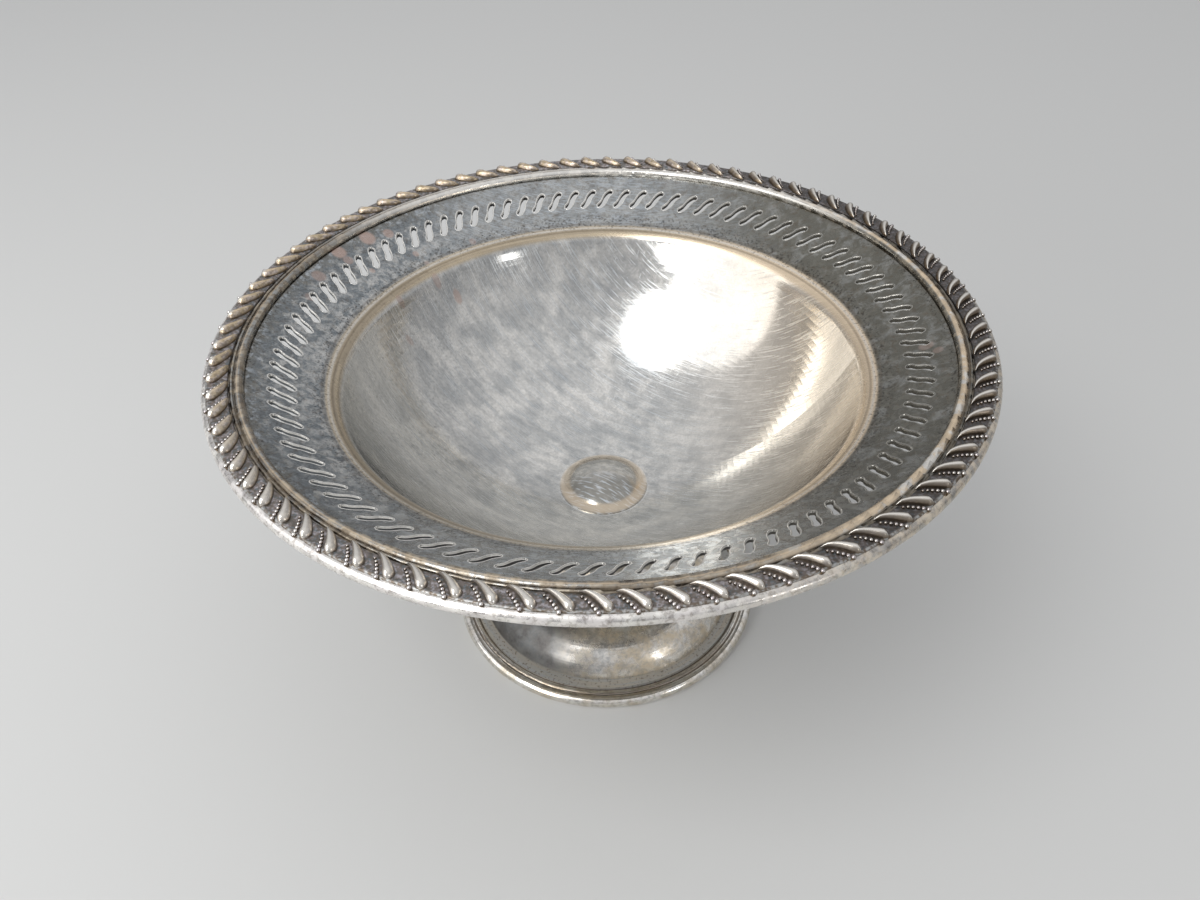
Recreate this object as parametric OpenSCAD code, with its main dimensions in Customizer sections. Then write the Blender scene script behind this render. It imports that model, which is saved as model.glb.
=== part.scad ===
// Footed compote bowl: a pierced round bowl with an applied gadroon border, on a weighted foot.
// Millimetres, +Z up, origin at the middle of the face that the foot rests on.

/* [Bowl] */
// Diameter over the rim border
rim_d = 152.4; // [148:0.2:160]
// Width of the brim, from the well's rounded shoulder to the border
brim_w = 14.4; // [13:0.1:16]
// Depth of the round well below its shoulder
well_depth = 36.6; // [33:0.1:40]
// Radius of the rounded shoulder
shoulder_r = 4.5; // [3:0.1:6]
// Slope of the brim
brim_slope = 26.5; // [20:0.5:28]
// Thickness of the bowl's sheet
bowl_sheet = 0.9; // [0.7:0.05:1.1]
// Width of the flat seat in the middle of the well that is left bare round the cap
seat_margin = 0.4; // [0.2:0.05:0.8]

/* [Piercing] */
// Number of S slots round the brim
slot_count = 94; // [60:1:96]
// Distance from the well's shoulder to the circle on which the slots' middles lie
slot_inset = 8.3; // [7.4:0.1:9.2]
// Width of a slot
slot_w = 1.3; // [0.9:0.05:1.5]
// Bend radius of each half of the S
slot_bend_r = 3.6; // [3:0.1:4]
// Lean of a slot at its middle, from the radial line
slot_mid_lean = 18; // [12:1:24]
// Lean of a slot at its two ends
slot_end_lean = 54; // [46:1:62]

/* [Rim wire] */
// Width of the border, from its inner bead to the rim
border_w = 7.6; // [7.4:0.05:8.6]
// Radius of the plain roll at the rim
roll_r = 1.2; // [1.1:0.05:1.3]
// Height of the roll's middle above the border's seat
roll_rise = 0.4; // [0.3:0.05:0.45]
// Radius of the inner bead
inner_bead_r = 0.9; // [0.8:0.05:1]
// Radius of the fine line beside the inner bead
fine_line_r = 0.35; // [0.25:0.05:0.4]
// Height of the ledge that carries the gadroon strip, above the seat
ledge_h = 1.2; // [1.1:0.05:1.3]
// Gap between the roll and the edge of the sheet
sheet_gap = 0.2; // [0.15:0.05:0.5]

/* [Gadroon strip] */
// Number of gadroons round the border
gadroon_count = 85; // [60:1:88]
// Height of the ground between the gadroons, above the strip's ledge
ground_h = 0.7; // [0.6:0.05:0.9]
// Height that a gadroon's crest stands above the ground
gadroon_rise = 1.1; // [0.8:0.05:1.4]
// Width of a gadroon as a share of the distance from one to the next
gadroon_w_share = 0.62; // [0.5:0.02:0.7]
// Angle that a gadroon leans round the bowl by, from its tail to its head
gadroon_lean = 3.7; // [3:0.1:4]

/* [Centre cap] */
// Radius of the cap at its thin edge
cap_r = 10; // [9.6:0.05:10.4]
// Radius of the hollow round in which the dome runs out to the edge
cap_fillet_r = 4; // [3:0.1:5]
// Space between the bolt's head and the cap
cap_space = 0.8; // [0.7:0.05:1.4]
// Thickness of the cap's sheet
cap_sheet = 0.6; // [0.5:0.05:0.7]
// Thickness of the cap's edge
cap_edge_t = 0.15; // [0.1:0.05:0.25]

/* [Stem collar] */
// Height of the collar between the foot and the bowl
collar_h = 4.6; // [4:0.05:6]
// Distance that the collar's end discs stand out from the stem
collar_lip = 1; // [0.6:0.1:1.6]
// Radius of the collar's middle bead
collar_bead_r = 1.5; // [1.2:0.05:1.7]
// Thickness of each end disc
collar_disc_t = 0.9; // [0.7:0.05:1]
// Depth of the collar's waist below its end discs
collar_waist = 3; // [2:0.1:3.6]

/* [Foot] */
// Outside diameter of the foot
foot_d = 72.7; // [70:0.1:76]
// Radius of the narrowest place of the foot, under the collar
stem_r = 10; // [9.4:0.1:10.6]
// Distance that the lip of the stem's top stands out from the stem
stem_lip = 0.3; // [0.2:0.05:0.5]
// Thickness of the foot's sheet
foot_sheet = 0.8; // [0.6:0.05:0.9]
// Radius of the swell low on the foot
foot_swell_r = 12; // [11:0.1:13]
// Width of the flat band between the swell and the foot ring
band_w = 2.2; // [1.8:0.1:3]
// Slope at which the swell starts from the flat band
swell_start_slope = 70; // [64:1:74]
// Slope where the swell passes into the hollow
ogee_slope = 20; // [18:0.5:22]

/* [Foot ring] */
// Radius of the ring's outer bead
ring_bead_r = 1.4; // [1.2:0.05:1.5]
// Radius of the ring's inner bead
ring_step_r = 0.75; // [0.6:0.05:0.8]
// Height of the shelf that carries the foot's flat band
ring_shelf_h = 2.2; // [2:0.05:2.4]
// Width of the open groove between the flat band and the ring
ring_groove_w = 0.25; // [0.15:0.05:0.4]

/* [Bolt and base] */
// Diameter of the tie bolt
bolt_d = 4; // [3.6:0.1:4.2]
// Diameter of the bolt's head
bolt_head_d = 6.8; // [6.4:0.1:7]
// Height of the bolt's head
bolt_head_h = 1.1; // [0.9:0.05:1.2]
// Thickness of the washer under the head
head_washer_t = 0.5; // [0.4:0.05:0.55]
// Diameter of the plate under the filler
nut_plate_d = 17; // [14:0.5:18]
// Thickness of the plate under the filler
nut_plate_t = 1.2; // [1:0.1:1.6]
// Width of the nut across its flats
nut_flats = 7; // [6.4:0.1:8]
// Thickness of the nut
nut_t = 3.2; // [2.6:0.1:3.6]
// Length of bolt that stands out of the nut
bolt_end = 1; // [0.6:0.1:1.2]
// Depth of the pocket in the filler for the plate and the nut
nut_pocket = 7.4; // [6.8:0.1:8]
// Thickness of the base pad
pad_t = 1.2; // [1:0.1:1.4]
// Height of the pad's underside above the table
pad_recess = 0.4; // [0.3:0.05:0.6]

/* [Hidden] */
$fn = 96;

// Clearances, the overrun that every cut shares, and the depth that round edges are cut flat by
bolt_clearance = 0.15;
edge_clearance = 0.1;
filler_clearance = 0.2;
cap_clearance = 0.45;
overrun = 1;
seat_flat = 0.1;

// Colours
silver = "silver";
tarnished = "darkgray";
steel = "slategray";
plaster = "gainsboro";
felt = "darkslategray";

// A point at a distance and an angle from c
function polar(c, r, a) = [c.x + r * cos(a), c.y + r * sin(a)];

// Main radii
rim_r = rim_d / 2;
foot_r = foot_d / 2;
bolt_hole_r = bolt_d / 2 + bolt_clearance;
border_in_r = rim_r - border_w;
well_r = border_in_r - brim_w;
slot_ring_r = well_r + slot_inset;

// Foot ring: its two beads, and the edge of the flat band on its shelf
ring_bead_c = [foot_r - ring_bead_r, ring_bead_r - seat_flat];
ring_step_c = [foot_r - 2 * ring_bead_r, ring_shelf_h - 2 * seat_flat];
band_out_r = ring_step_c.x - ring_step_r - ring_groove_w;
band_top_h = ring_shelf_h + foot_sheet;

// Foot, from its flat band up: the swell starts on the band and turns over at the ogee point into
// the hollow, which ends upright at the stem
swell_start_a = 90 - swell_start_slope;
ogee_a = 90 - ogee_slope;
swell_c = polar([band_out_r - band_w, band_top_h], foot_swell_r, swell_start_a + 180);
foot_hollow_r = (swell_c.x - stem_r + foot_swell_r * cos(ogee_a)) / (1 - cos(ogee_a));
hollow_c = polar(swell_c, foot_swell_r + foot_hollow_r, ogee_a);
swell_foot_in = polar(swell_c, foot_swell_r - foot_sheet, swell_start_a);
ring_in_r = swell_foot_in.x;
stem_top_h = hollow_c.y + foot_sheet;

// Round of the shoulder and sphere of the well, measured from the sphere's lowest point: the top of
// the round touches the brim at well_r and well_depth, and the sphere touches the round
round_c = polar([well_r, well_depth], shoulder_r, brim_slope - 90);
round_k = round_c.y + shoulder_r;
well_sphere_r = (round_c.x * round_c.x + round_k * round_k) / (2 * round_k) - shoulder_r;
wall_slope = asin(round_c.x / (well_sphere_r + shoulder_r));

// Flat seat in the middle of the well, on the collar, and the heights that follow from it
well_seat_r = cap_r + seat_margin;
seat_under_h = stem_top_h + collar_h;
seat_top_h = seat_under_h + bowl_sheet;
well_c = [0, seat_top_h + sqrt(well_sphere_r * well_sphere_r - well_seat_r * well_seat_r)];
well_floor_h = well_c.y - well_sphere_r;
shoulder_h = well_floor_h + well_depth;
shoulder_c = [round_c.x, well_floor_h + round_c.y];

// Border: its seat on the flat rim of the sheet, and the sheet's edge
border_seat_h = shoulder_h + (border_in_r - well_r) * tan(brim_slope);
sheet_edge_r = rim_r - 2 * roll_r - sheet_gap;

// Rim wire outline: inner bead, fine line, ledge and roll
ledge_z = border_seat_h + ledge_h;
inner_bead_c = [border_in_r + inner_bead_r, border_seat_h + inner_bead_r - seat_flat];
fine_line_c = [border_in_r + 2 * inner_bead_r + fine_line_r, ledge_z];
roll_c = [rim_r - roll_r, border_seat_h + roll_rise];

// Gadroon strip: rows from the inner edge to the rim, as shares of its width, with the share of the
// ground's height, of the crest's rise and of the lean that each has
strip_in_r = fine_line_c.x + fine_line_r + edge_clearance;
strip_out_r = roll_c.x;
row_place_shares = [0, 0.12, 0.4, 0.72, 0.93, 1];
row_ground_shares = [0, 0.7, 0.85, 1, 1, 0.9];
row_rise_shares = [0, 0.35, 0.85, 1, 0.85, 0.3];
row_lean_shares = [0, 0.2, 0.55, 0.8, 0.95, 1];
// Columns across one gadroon and the share of the rise that each has
col_place_shares = [-0.5, -0.3, 0, 0.3, 0.5];
col_rise_shares = [0, 0.75, 1, 0.75, 0];

// Stack inside the foot, from the table up
pad_top_h = pad_recess + pad_t;
plate_top_h = pad_top_h + nut_pocket;
plate_under_h = plate_top_h - nut_plate_t;
nut_under_h = plate_under_h - nut_t;
bolt_end_h = nut_under_h - bolt_end;
head_under_h = seat_top_h + head_washer_t;

// Centre cap: it covers the bolt's head. Its dome is the sphere through its top that touches the
// hollow round at the edge. The washer under the head reaches almost to the dome
cap_h = head_washer_t + bolt_head_h + cap_space + cap_sheet;
cap_fillet_c = [cap_r - cap_edge_t, seat_top_h + cap_edge_t + cap_fillet_r];
cap_k = cap_edge_t + cap_fillet_r - cap_h;
cap_sphere_r = (cap_fillet_c.x * cap_fillet_c.x + cap_k * cap_k - cap_fillet_r * cap_fillet_r)
    / (2 * (cap_h - cap_edge_t));
cap_c = [0, seat_top_h + cap_h - cap_sphere_r];
cap_turn_a = atan2(cap_fillet_c.y - cap_c.y, cap_fillet_c.x);
cap_in_r = cap_sphere_r - cap_sheet;
washer_k = head_under_h - cap_c.y;
head_washer_r = sqrt(cap_in_r * cap_in_r - washer_k * washer_k) - cap_clearance;

// Points along an arc about c, in a number of steps
function arc(c, r, a0, a1, steps) =
    [for (i = [0 : steps]) polar(c, r, a0 + (a1 - a0) * i / steps)];

// The same points without the last one
function open_arc(c, r, a0, a1, steps) =
    [for (i = [0 : steps - 1]) polar(c, r, a0 + (a1 - a0) * i / steps)];

// Rectangle between two corners
module box2(p, q) {
    translate(p) square(q - p);
}

// Upright round bar between two heights
module bar(r, from_h, to_h) {
    translate([0, 0, from_h]) cylinder(r = r, h = to_h - from_h);
}

// Outline of half an S slot: out along its inner bend, round its end and back along its outer bend.
// The outer end leans clockwise, seen from above
function half_slot(steps) =
    let (
        c = polar([0, 0], slot_bend_r, -slot_mid_lean),
        mid_a = 180 - slot_mid_lean,
        end_a = 180 - slot_end_lean,
        end_c = polar(c, slot_bend_r, end_a),
        half_w = slot_w / 2
    ) concat(
        open_arc(c, slot_bend_r - half_w, mid_a, end_a, steps),
        open_arc(end_c, half_w, end_a + 180, end_a + 360, steps),
        open_arc(c, slot_bend_r + half_w, end_a, mid_a, steps)
    );

// S slot with its middle at the origin and its radial line along +Y
module slot() {
    half = half_slot(3);
    polygon(concat(half, -half));
}

// Outline of the bowl's sheet: flat seat, round well, shoulder, brim and flat rim, and back below
module bowl_section() {
    under_r = well_sphere_r + bowl_sheet;
    seat_a = asin(well_seat_r / well_sphere_r);
    under_a = acos((well_c.y - seat_under_h) / under_r);
    polygon(concat(
        [[bolt_hole_r, seat_top_h]],
        arc(well_c, well_sphere_r, 270 + seat_a, 270 + wall_slope, 36),
        arc(shoulder_c, shoulder_r, 90 + wall_slope, 90 + brim_slope, 8),
        [
            [border_in_r, border_seat_h],
            [sheet_edge_r, border_seat_h],
            [sheet_edge_r, border_seat_h - bowl_sheet],
            [border_in_r + bowl_sheet * tan(brim_slope / 2), border_seat_h - bowl_sheet]
        ],
        arc(shoulder_c, shoulder_r - bowl_sheet, 90 + brim_slope, 90 + wall_slope, 8),
        arc(well_c, under_r, 270 + wall_slope, 270 + under_a, 36),
        [[bolt_hole_r, seat_under_h]]
    ));
}

module bowl() {
    color(tarnished) difference() {
        rotate_extrude($fn = 180) bowl_section();
        for (i = [0 : slot_count - 1])
            rotate(i * 360 / slot_count - 90)
                translate([0, slot_ring_r, shoulder_h])
                    linear_extrude(border_seat_h - shoulder_h + overrun)
                        slot();
    }
}

// Plain wire round the rim: it sits on the flat rim of the sheet and hides the sheet's edge
module rim_wire() {
    color(silver) rotate_extrude($fn = 180) {
        intersection() {
            translate(inner_bead_c) circle(r = inner_bead_r);
            box2([border_in_r, border_seat_h], [rim_r, ledge_z + inner_bead_r]);
        }
        translate(fine_line_c) circle(r = fine_line_r);
        box2([inner_bead_c.x, border_seat_h], [roll_c.x, ledge_z]);
        box2([sheet_edge_r + edge_clearance, roll_c.y - roll_r + seat_flat], roll_c);
        translate(roll_c) circle(r = roll_r);
    }
}

// Strip of gadroons, as a closed skin of columns that follow the gadroons round the rim
module gadroon_strip() {
    rows = len(row_place_shares);
    cols = len(col_place_shares);
    loop = rows + 1;
    pitch = 360 / gadroon_count;
    total = gadroon_count * cols;
    strip_w = strip_out_r - strip_in_r;
    heel = [roll_c.x - roll_r + seat_flat, ledge_z];
    function ring_point(r, a, z) = [r * cos(a), r * sin(a), z];
    function turn(k, row) =
        pitch * (floor(k / cols) + gadroon_w_share * col_place_shares[k % cols])
            + gadroon_lean * row_lean_shares[row];
    points = [for (k = [0 : total - 1]) each concat(
        [for (row = [0 : rows - 1]) ring_point(
            strip_in_r + strip_w * row_place_shares[row],
            turn(k, row),
            ledge_z + ground_h * row_ground_shares[row]
                + gadroon_rise * row_rise_shares[row] * col_rise_shares[k % cols]
        )],
        [ring_point(heel.x, turn(k, rows - 1), heel.y)]
    )];
    faces = [for (k = [0 : total - 1], j = [0 : loop - 1])
        let (
            a = k * loop + j,
            b = k * loop + (j + 1) % loop,
            next = ((k + 1) % total) * loop - k * loop
        ) each [[a, b, b + next], [a, b + next, a + next]]
    ];
    color(silver) polyhedron(points, faces);
}

// Thin dome that runs out in a hollow round to an edge on the bowl's flat seat
module centre_cap() {
    inner_a = asin((seat_top_h - cap_c.y) / cap_in_r);
    color(silver) rotate_extrude() polygon(concat(
        open_arc(cap_c, cap_sphere_r, 90, cap_turn_a, 20),
        open_arc(cap_fillet_c, cap_fillet_r, 180 + cap_turn_a, 270, 10),
        [
            [cap_fillet_c.x, seat_top_h + cap_edge_t],
            [cap_r, seat_top_h + cap_edge_t],
            [cap_r, seat_top_h]
        ],
        arc(cap_c, cap_in_r, inner_a, 90, 16)
    ));
}

module head_washer() {
    color(steel) difference() {
        bar(head_washer_r, seat_top_h, head_under_h);
        bar(bolt_hole_r, seat_top_h - overrun, head_under_h + overrun);
    }
}

module tie_bolt() {
    color(steel) {
        bar(bolt_d / 2, bolt_end_h, head_under_h);
        bar(bolt_head_d / 2, head_under_h, head_under_h + bolt_head_h);
    }
}

module stem_collar() {
    disc_r = stem_r + collar_lip;
    waist_r = disc_r - collar_waist;
    bead_c = [waist_r, (stem_top_h + seat_under_h) / 2];
    color(silver) rotate_extrude() {
        box2([bolt_hole_r, stem_top_h], [disc_r, stem_top_h + collar_disc_t]);
        box2([bolt_hole_r, stem_top_h], [waist_r, seat_under_h]);
        box2([bolt_hole_r, seat_under_h - collar_disc_t], [well_seat_r - edge_clearance, seat_under_h]);
        translate(bead_c) circle(r = collar_bead_r);
    }
}

// Outline of the foot from the stem down to its side, drawn in by inset
function foot_line(inset) = concat(
    arc(hollow_c, foot_hollow_r + inset, 180, 180 + ogee_a, 24),
    arc(swell_c, foot_swell_r - inset, ogee_a, swell_start_a, 16)
);

// The same outline from the side up
function foot_line_up(inset) = concat(
    arc(swell_c, foot_swell_r - inset, swell_start_a, ogee_a, 16),
    arc(hollow_c, foot_hollow_r + inset, 180 + ogee_a, 180, 24)
);

module foot_shell() {
    color(tarnished) rotate_extrude($fn = 180) polygon(concat(
        [
            [bolt_hole_r, stem_top_h],
            [stem_r + stem_lip, stem_top_h],
            [stem_r + stem_lip, hollow_c.y]
        ],
        foot_line(0),
        [
            [band_out_r, band_top_h],
            [band_out_r, ring_shelf_h],
            [swell_foot_in.x, ring_shelf_h]
        ],
        foot_line_up(foot_sheet),
        [[bolt_hole_r, hollow_c.y]]
    ));
}

module foot_ring() {
    color(silver) rotate_extrude($fn = 180) {
        intersection() {
            translate(ring_bead_c) circle(r = ring_bead_r);
            box2([0, 0], [foot_r, 2 * ring_bead_r]);
        }
        translate(ring_step_c) circle(r = ring_step_r);
        box2([ring_in_r, 0], [ring_step_c.x, ring_shelf_h]);
        box2([ring_in_r, 0], [ring_bead_c.x, ring_step_c.y]);
    }
}

// Cast weight: it follows the inside of the foot, with a pocket for the plate and the nut
module foot_filler() {
    inset = foot_sheet + filler_clearance;
    pocket_r = nut_plate_d / 2 + filler_clearance;
    color(plaster) rotate_extrude() polygon(concat(
        [[bolt_hole_r, hollow_c.y]],
        foot_line(inset),
        [
            [polar(swell_c, foot_swell_r - inset, swell_start_a).x, pad_top_h],
            [pocket_r, pad_top_h],
            [pocket_r, plate_top_h],
            [bolt_hole_r, plate_top_h]
        ]
    ));
}

module nut_plate() {
    color(steel) difference() {
        bar(nut_plate_d / 2, plate_under_h, plate_top_h);
        bar(bolt_hole_r, plate_under_h - overrun, plate_top_h + overrun);
    }
}

module tie_nut() {
    color(steel) difference() {
        bar(nut_flats / 2 / cos(30), nut_under_h, plate_under_h, $fn = 6);
        bar(bolt_hole_r, nut_under_h - overrun, plate_under_h + overrun);
    }
}

module base_pad() {
    color(felt) bar(ring_in_r - filler_clearance, pad_recess, pad_top_h);
}

bowl();
rim_wire();
gadroon_strip();
centre_cap();
head_washer();
tie_bolt();
stem_collar();
foot_shell();
foot_ring();
foot_filler();
nut_plate();
tie_nut();
base_pad();
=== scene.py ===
import math
from functools import partial

import bmesh
import bpy
from mathutils import Matrix, Vector


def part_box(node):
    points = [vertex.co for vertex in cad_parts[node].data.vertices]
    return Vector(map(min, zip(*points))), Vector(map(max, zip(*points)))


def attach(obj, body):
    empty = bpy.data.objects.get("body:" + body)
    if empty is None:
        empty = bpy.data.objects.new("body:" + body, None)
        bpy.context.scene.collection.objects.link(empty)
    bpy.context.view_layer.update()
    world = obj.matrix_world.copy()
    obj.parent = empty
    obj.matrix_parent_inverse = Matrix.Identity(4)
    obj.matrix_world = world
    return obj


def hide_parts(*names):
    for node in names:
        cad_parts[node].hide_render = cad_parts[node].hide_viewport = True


bl_info = {
    "name": "Footed compote bowl",
    "version": (1, 0, 0),
    "blender": (4, 5, 0),
    "location": "View3D > Sidebar > Compote",
    "description": "Gadroon border, slot edges, aged silver finishes and studio of a pierced compote bowl",
    "category": "Object",
}

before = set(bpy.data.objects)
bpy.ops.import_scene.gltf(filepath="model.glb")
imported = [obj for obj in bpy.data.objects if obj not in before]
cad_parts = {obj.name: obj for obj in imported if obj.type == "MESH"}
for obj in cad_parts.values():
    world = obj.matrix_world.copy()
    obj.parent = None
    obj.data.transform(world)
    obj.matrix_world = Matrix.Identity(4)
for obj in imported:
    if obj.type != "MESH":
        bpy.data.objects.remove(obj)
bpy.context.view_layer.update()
MM = 0.001
# Corners of the CAD's plain gadroon strip, which the carved border takes the place of
STRIP_LOW, STRIP_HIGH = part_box("gadroon_strip")
# Attribute of the gadroons: 1 on the crest and 0 at the foot of their sides
CREST = "crest"


def linear(colour):
    """An sRGB hex value such as "#c0c0c0" as a linear colour with alpha."""
    parts = [int(colour[i:i + 2], 16) / 255 for i in (1, 3, 5)]
    return tuple(p / 12.92 if p <= 0.04045 else ((p + 0.055) / 1.055) ** 2.4 for p in parts) + (1.0,)


def colour_prop(label, text, value):
    """A colour that can be changed in the panel, from an sRGB hex value."""
    return bpy.props.FloatVectorProperty(
        name=label, description=text, default=linear(value), size=4, min=0, max=1, subtype="COLOR")


class CompoteBorder(bpy.types.PropertyGroup):
    """Sizes of the gadroon and bead border"""
    gadroons: bpy.props.IntProperty(
        name="Gadroons", description="Number of gadroons round the border", default=85, min=12)
    beads: bpy.props.IntProperty(
        name="Beads", description="Number of beads in the row between two gadroons", default=6, min=2)
    width: bpy.props.FloatProperty(
        name="Strip width", description="Width of the strip from its inner edge to the roll",
        default=3.8 * MM, unit="LENGTH")
    lean: bpy.props.FloatProperty(
        name="Lean", description="Angle round the bowl from a gadroon's tail to its head",
        default=math.radians(3.7), unit="ROTATION")
    lobe_width: bpy.props.FloatProperty(
        name="Gadroon width", description="Width that the shares of a gadroon's sides are taken of",
        default=1.1 * MM, unit="LENGTH")
    ground_height: bpy.props.FloatProperty(
        name="Ground height", description="Height of the ground above the strip's ledge",
        default=0.55 * MM, unit="LENGTH")
    bead_small: bpy.props.FloatProperty(
        name="Smallest bead", description="Radius of the bead nearest the bowl",
        default=0.27 * MM, unit="LENGTH")
    bead_large: bpy.props.FloatProperty(
        name="Largest bead", description="Radius of the bead nearest the rim",
        default=0.42 * MM, unit="LENGTH")
    bead_gap: bpy.props.FloatProperty(
        name="Bead gap", description="Gap between a bead and its gadroon", default=0.4 * MM, unit="LENGTH")


class CompoteSlots(bpy.types.PropertyGroup):
    """Sizes of the rounded edges round the S slots"""
    count: bpy.props.IntProperty(
        name="Slots", description="Number of S slots round the brim", default=94, min=12)
    ring: bpy.props.FloatProperty(
        name="Ring radius", description="Radius of the circle through the slots' middles",
        default=62.5 * MM, unit="LENGTH")
    width: bpy.props.FloatProperty(
        name="Slot width", description="Width of a slot", default=1.3 * MM, unit="LENGTH")
    bend: bpy.props.FloatProperty(
        name="Bend radius", description="Bend radius of each half of the S",
        default=3.6 * MM, unit="LENGTH")
    mid_lean: bpy.props.FloatProperty(
        name="Lean at the middle", description="Lean of a slot at its middle",
        default=math.radians(18), unit="ROTATION")
    end_lean: bpy.props.FloatProperty(
        name="Lean at the ends", description="Lean of a slot at its two ends",
        default=math.radians(54), unit="ROTATION")
    edge: bpy.props.FloatProperty(
        name="Edge width", description="Width of the rounded edge of a slot",
        default=0.3 * MM, unit="LENGTH")
    brim_height: bpy.props.FloatProperty(
        name="Brim height", description="Height of the brim at the ring radius",
        default=75.059 * MM, unit="LENGTH")
    brim_slope: bpy.props.FloatProperty(
        name="Brim slope", description="Slope of the brim", default=math.radians(26.5), unit="ROTATION")


class CompoteColours(bpy.types.PropertyGroup):
    """Colours of the aged silver and of the parts inside the foot"""
    # Clean silver also paints highlights: the line on the shoulder, the gadroon crests and the far side of
    # the rim wire
    silver: colour_prop("Clean silver", "Silver plate where polishing has kept it clean", "#f2efe9")
    grey: colour_prop("Grey tarnish", "Thin grey tarnish on the brim and in the well", "#b3b4b2")
    slate: colour_prop("Slate tarnish", "Bluish older tarnish", "#7b8287")
    haze: colour_prop("Pale haze", "Whitish blue bloom on the left of the brim", "#c6cdd3")
    # Smoke grey also paints shade on the slot walls at the right
    smoke: colour_prop("Smoke tarnish", "Older smoke grey tarnish on the right", "#6d6a60")
    tan: colour_prop("Tan tarnish", "Warm first tarnish, straw to tan", "#c8b698")
    # Gold also paints the warm reflection in the well, the highlight towards the right of the shoulder and
    # part of the gadroon crests' highlight
    gold: colour_prop("Golden tarnish", "Pale golden tarnish on worn crests", "#efd9bb")
    brown: colour_prop("Brown tarnish", "Brown tarnish in grooves and along edges", "#6a5c4c")
    # Black also paints shade under the brim and on the slot walls, and a dark reflection low on the foot
    black: colour_prop("Black tarnish", "Near black tarnish in the deepest recesses", "#2f2b2a")
    lilac: colour_prop("Lilac tarnish", "Grey lilac tarnish on beads and roll", "#cbc3c6")
    spot: colour_prop("Pink spots", "Pinkish tan marks where drops have dried", "#c6aca0")
    steel: colour_prop("Steel", "Zinc plated steel of the bolt, nut and plates", "#a4a7a8")
    cast: colour_prop("Cast filler", "Grey plaster cast inside the foot", "#b9b4a8")
    felt: colour_prop("Felt", "Dark green felt under the foot", "#2c4035")
    floor: colour_prop("Floor", "Plain pale floor", "#cfcfcd")
    studio: colour_prop("Studio", "Plain white surroundings", "#fbfcff")


class CompoteStage(bpy.types.PropertyGroup):
    """Camera, lamps and floor"""
    camera_back: bpy.props.FloatProperty(
        name="Camera distance", description="Distance of the camera in front of the bowl's axis",
        default=161.61 * MM, unit="LENGTH")
    camera_height: bpy.props.FloatProperty(
        name="Camera height", description="Height of the camera above the floor",
        default=183.68 * MM, unit="LENGTH")
    camera_yaw: bpy.props.FloatProperty(
        name="Camera yaw", description="Turn of the camera about the vertical",
        default=-0.0037, unit="ROTATION")
    camera_pitch: bpy.props.FloatProperty(
        name="Camera pitch", description="Angle that the camera looks down by",
        default=0.7076, unit="ROTATION")
    camera_roll: bpy.props.FloatProperty(
        name="Camera roll", description="Roll of the camera", default=-0.0265, unit="ROTATION")
    lens: bpy.props.FloatProperty(
        name="Lens", description="Focal length in millimetres on a 36 mm sensor", default=28.76)
    key_power: bpy.props.FloatProperty(
        name="Key lamp", description="Power of the lamp above the bowl in watts", default=1.5)
    front_power: bpy.props.FloatProperty(
        name="Front lamp", description="Power of the lamp in front of the bowl in watts", default=0.9)
    left_power: bpy.props.FloatProperty(
        name="Left lamp", description="Power of the broad lamp at the left of the bowl in watts", default=2.2)
    right_power: bpy.props.FloatProperty(
        name="Right lamp", description="Power of the small lamp at the front right in watts", default=0.35)
    side_light: bpy.props.FloatProperty(
        name="Light from the sides", description="Strength of the studio's light at the floor's level",
        default=0.37)
    top_light: bpy.props.FloatProperty(
        name="Light from above", description="Strength of the studio's light from straight above",
        default=0.82)
    floor_size: bpy.props.FloatProperty(
        name="Floor size", description="Length of each side of the floor", default=6.0, unit="LENGTH")


# Settings that many nodes share. A MapRange turns the span from input 1 to input 2 into the span from
# input 3 to input 4, which is 0 to 1 unless given
SMOOTH = {"interpolation_type": "SMOOTHSTEP"}
COLOUR = {"data_type": "RGBA"}
PLUS, MINUS, TIMES = ({"operation": name} for name in ("ADD", "SUBTRACT", "MULTIPLY"))
SIZE, TURN, GREATER, SCALED = ({"operation": name} for name in ("ABSOLUTE", "ARCTAN2", "MAXIMUM", "SCALE"))
DISTANCE, LENGTH = ({"operation": name} for name in ("DISTANCE", "LENGTH"))
# Sockets of a Mix node that mixes colours
MIX_SHARE, MIX_FIRST, MIX_SECOND, MIX_COLOUR_OUT = 0, 6, 7, 2

# Radii of the forms that the tarnish and the painted highlights follow, in millimetres from the bowl's axis
CAP_ROUND = 8.7
COLLAR_NECK = 8.2
FOOT_BAND = 30.2
RING_INNER_LINE = 32.6
RING_OUTER_LINE = 34.1
SHOULDER = 53.9
WELL_EDGE = 54.9
SLOT_STAIN = 64.0
BRIM_EDGE = 68.4
WIRE_BEAD = 69.6
WIRE_LINES = (70.4, 71.15)
ROLL = 73.0
STRIP_LIP = 74.6


def add(tree, kind, settings, inputs, out=0):
    """Adds a node with its settings, and its inputs as links or values, and gives one of its outputs."""
    node = tree.nodes.new("ShaderNode" + kind)
    for key, value in settings.items():
        setattr(node, key, value)
    for key, value in inputs.items():
        if isinstance(value, bpy.types.NodeSocket):
            tree.links.new(value, node.inputs[key])
        else:
            node.inputs[key].default_value = value
    return node.outputs[out]


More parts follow.
